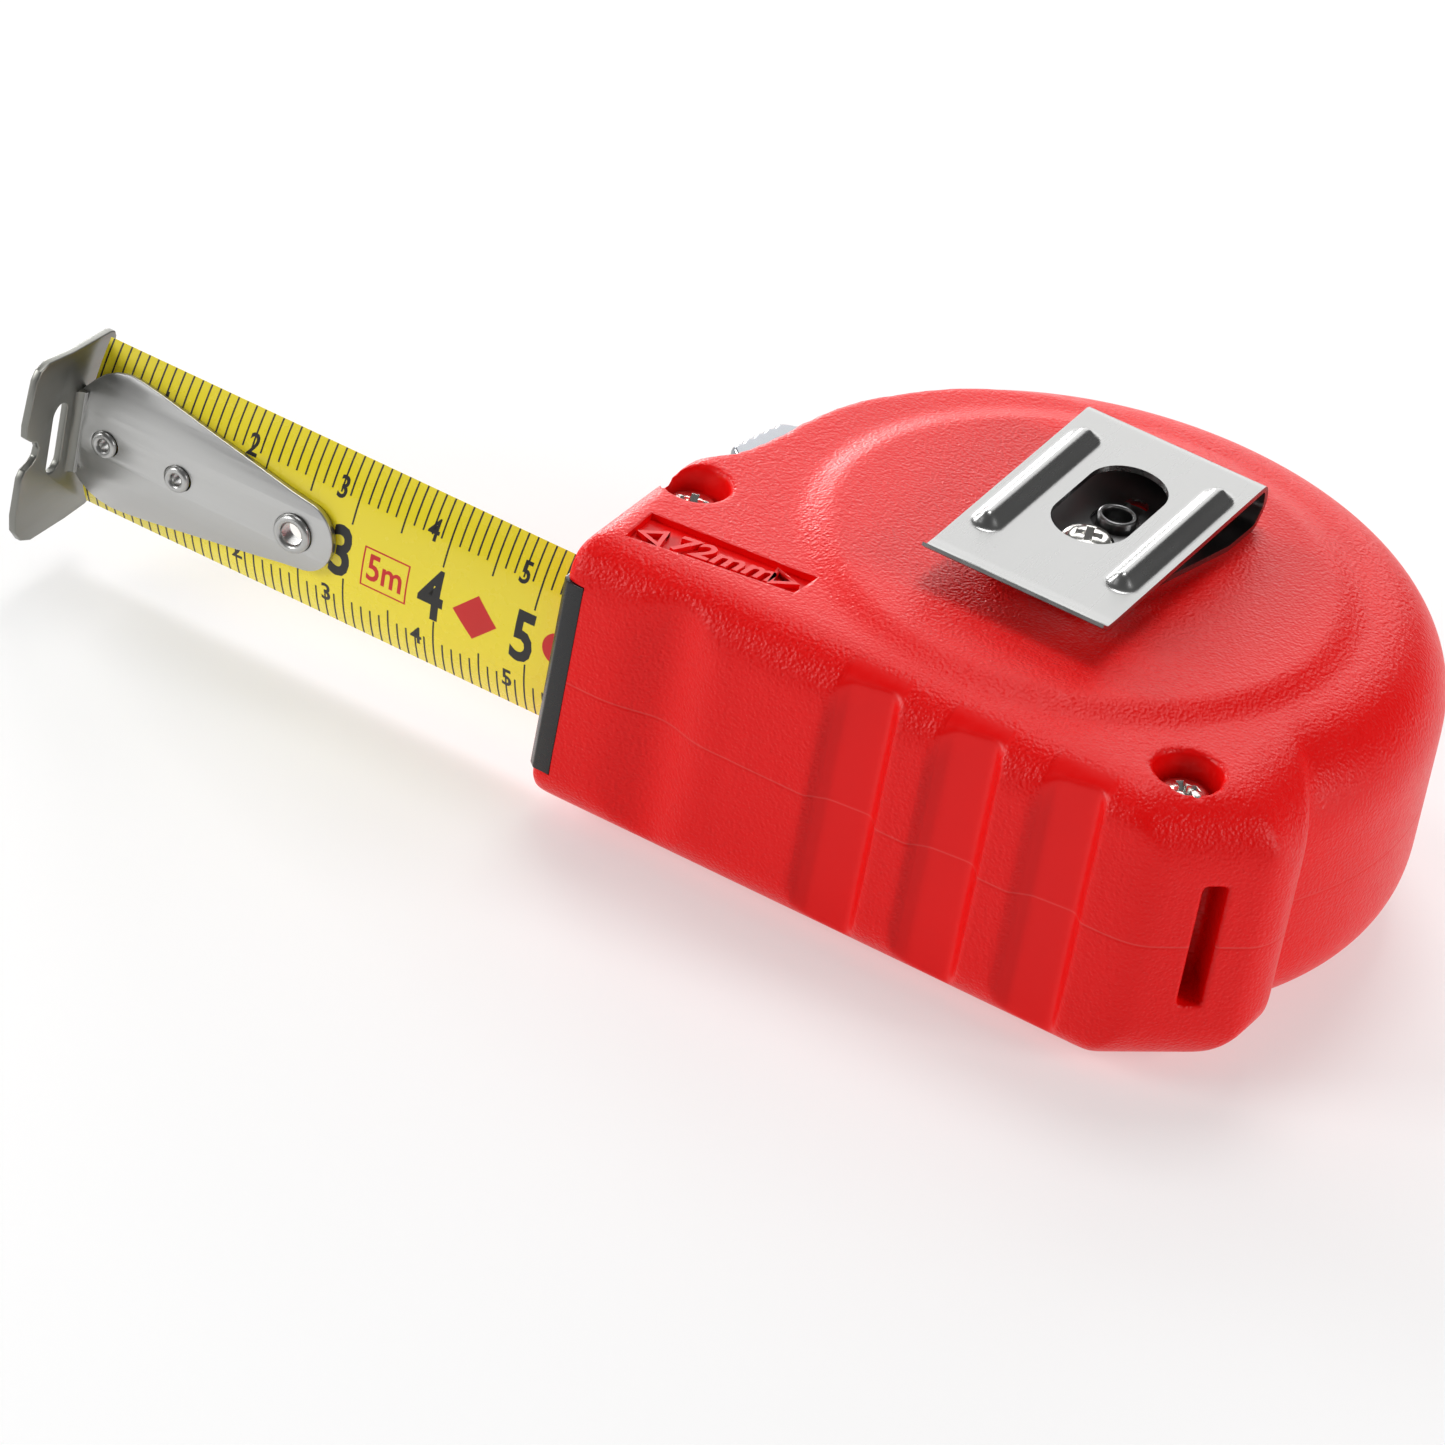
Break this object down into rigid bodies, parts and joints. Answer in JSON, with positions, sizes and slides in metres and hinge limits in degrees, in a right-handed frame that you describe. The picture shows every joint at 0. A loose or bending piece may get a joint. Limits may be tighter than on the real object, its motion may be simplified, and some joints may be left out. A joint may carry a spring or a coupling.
{
  "type": "tape measure",
  "caption": "Pocket tape measure lying on its side: two-shell case with finger grip, curved blade with riveted end hook, thumb lock and folded belt clip.",
  "frame": {"origin": "on the spool axis, in the plane of the lower side disc that the tape measure lies on", "axes": "+X from the mouth to the rear of the case, +Y from the base to the top of the case, +Z along the spool axis to the belt clip"},
  "size_m": [0.1268, 0.0728, 0.0366],
  "materials": {
    "case_plastic": "fine leather grain, satin gloss",
    "lip_plastic": "smooth",
    "post_steel": "turned",
    "screw_steel": "zinc plated",
    "clip_steel": "nickel plated, satin",
    "washer_plastic": "smooth",
    "reel_plastic": "smooth",
    "blade_coating": "yellow lacquer with printed scale",
    "spring_steel": "blued",
    "hook_steel": "stamped, brushed",
    "slider_chrome": "polished",
    "lock_plastic": "smooth",
    "brake_rubber": "matte"
  },
  "bodies": {
    "case": {"case_lower": "case_plastic", "case_upper": "case_plastic", "mouth_lip": "lip_plastic", "spindle_post": "post_steel", "case_screws": "screw_steel", "clip_foot": "clip_steel", "clip_screw": "screw_steel", "washer_lower": "washer_plastic", "washer_upper": "washer_plastic", "lock_detent": "spring_steel", "blade_lead": "blade_coating"},
    "reel": {"reel_drum": "reel_plastic", "reel_cover": "reel_plastic", "blade_coil": "blade_coating", "blade_anchor": "spring_steel", "power_spring": "spring_steel"},
    "blade": {"blade": "blade_coating", "hook_rivets": "hook_steel", "hook_eyelet": "hook_steel"},
    "hook": {"hook": "hook_steel"},
    "lock": {"lock_slider": "slider_chrome", "lock_arm": "lock_plastic", "brake_shoe": "brake_rubber"},
    "clip": {"clip_leaf": "clip_steel"}
  },
  "joints": [
    {"name": "blade_slide", "type": "slide", "parent": "case", "child": "blade", "axis": [-1, 0, 0], "range_m": [-0.0533, 0.002], "deforming": ["blade_lead"]},
    {"name": "reel_spin", "type": "hinge", "parent": "case", "child": "reel", "pos_m": [0, 0, 0.0155], "axis": [0, 0, 1], "range_deg": [-6, 141], "deforming": ["power_spring"]},
    {"name": "hook_float", "type": "slide", "parent": "blade", "child": "hook", "axis": [1, 0, 0], "range_m": [-0.0005, 0.0005]},
    {"name": "lock_slide", "type": "hinge", "parent": "case", "child": "lock", "pos_m": [0, 0, 0.0155], "axis": [0, 0, 1], "range_deg": [0, 9]},
    {"name": "clip_flex", "type": "hinge", "parent": "case", "child": "clip", "pos_m": [0, 0.015, 0.0334], "axis": [-1, 0, 0], "range_deg": [0, 8], "stiffness_Nm_per_rad": 0.2}
  ],
  "couplings": [
    {"joint": "reel_spin", "follows": "blade_slide", "rad_per_m": -45.872}
  ]
}
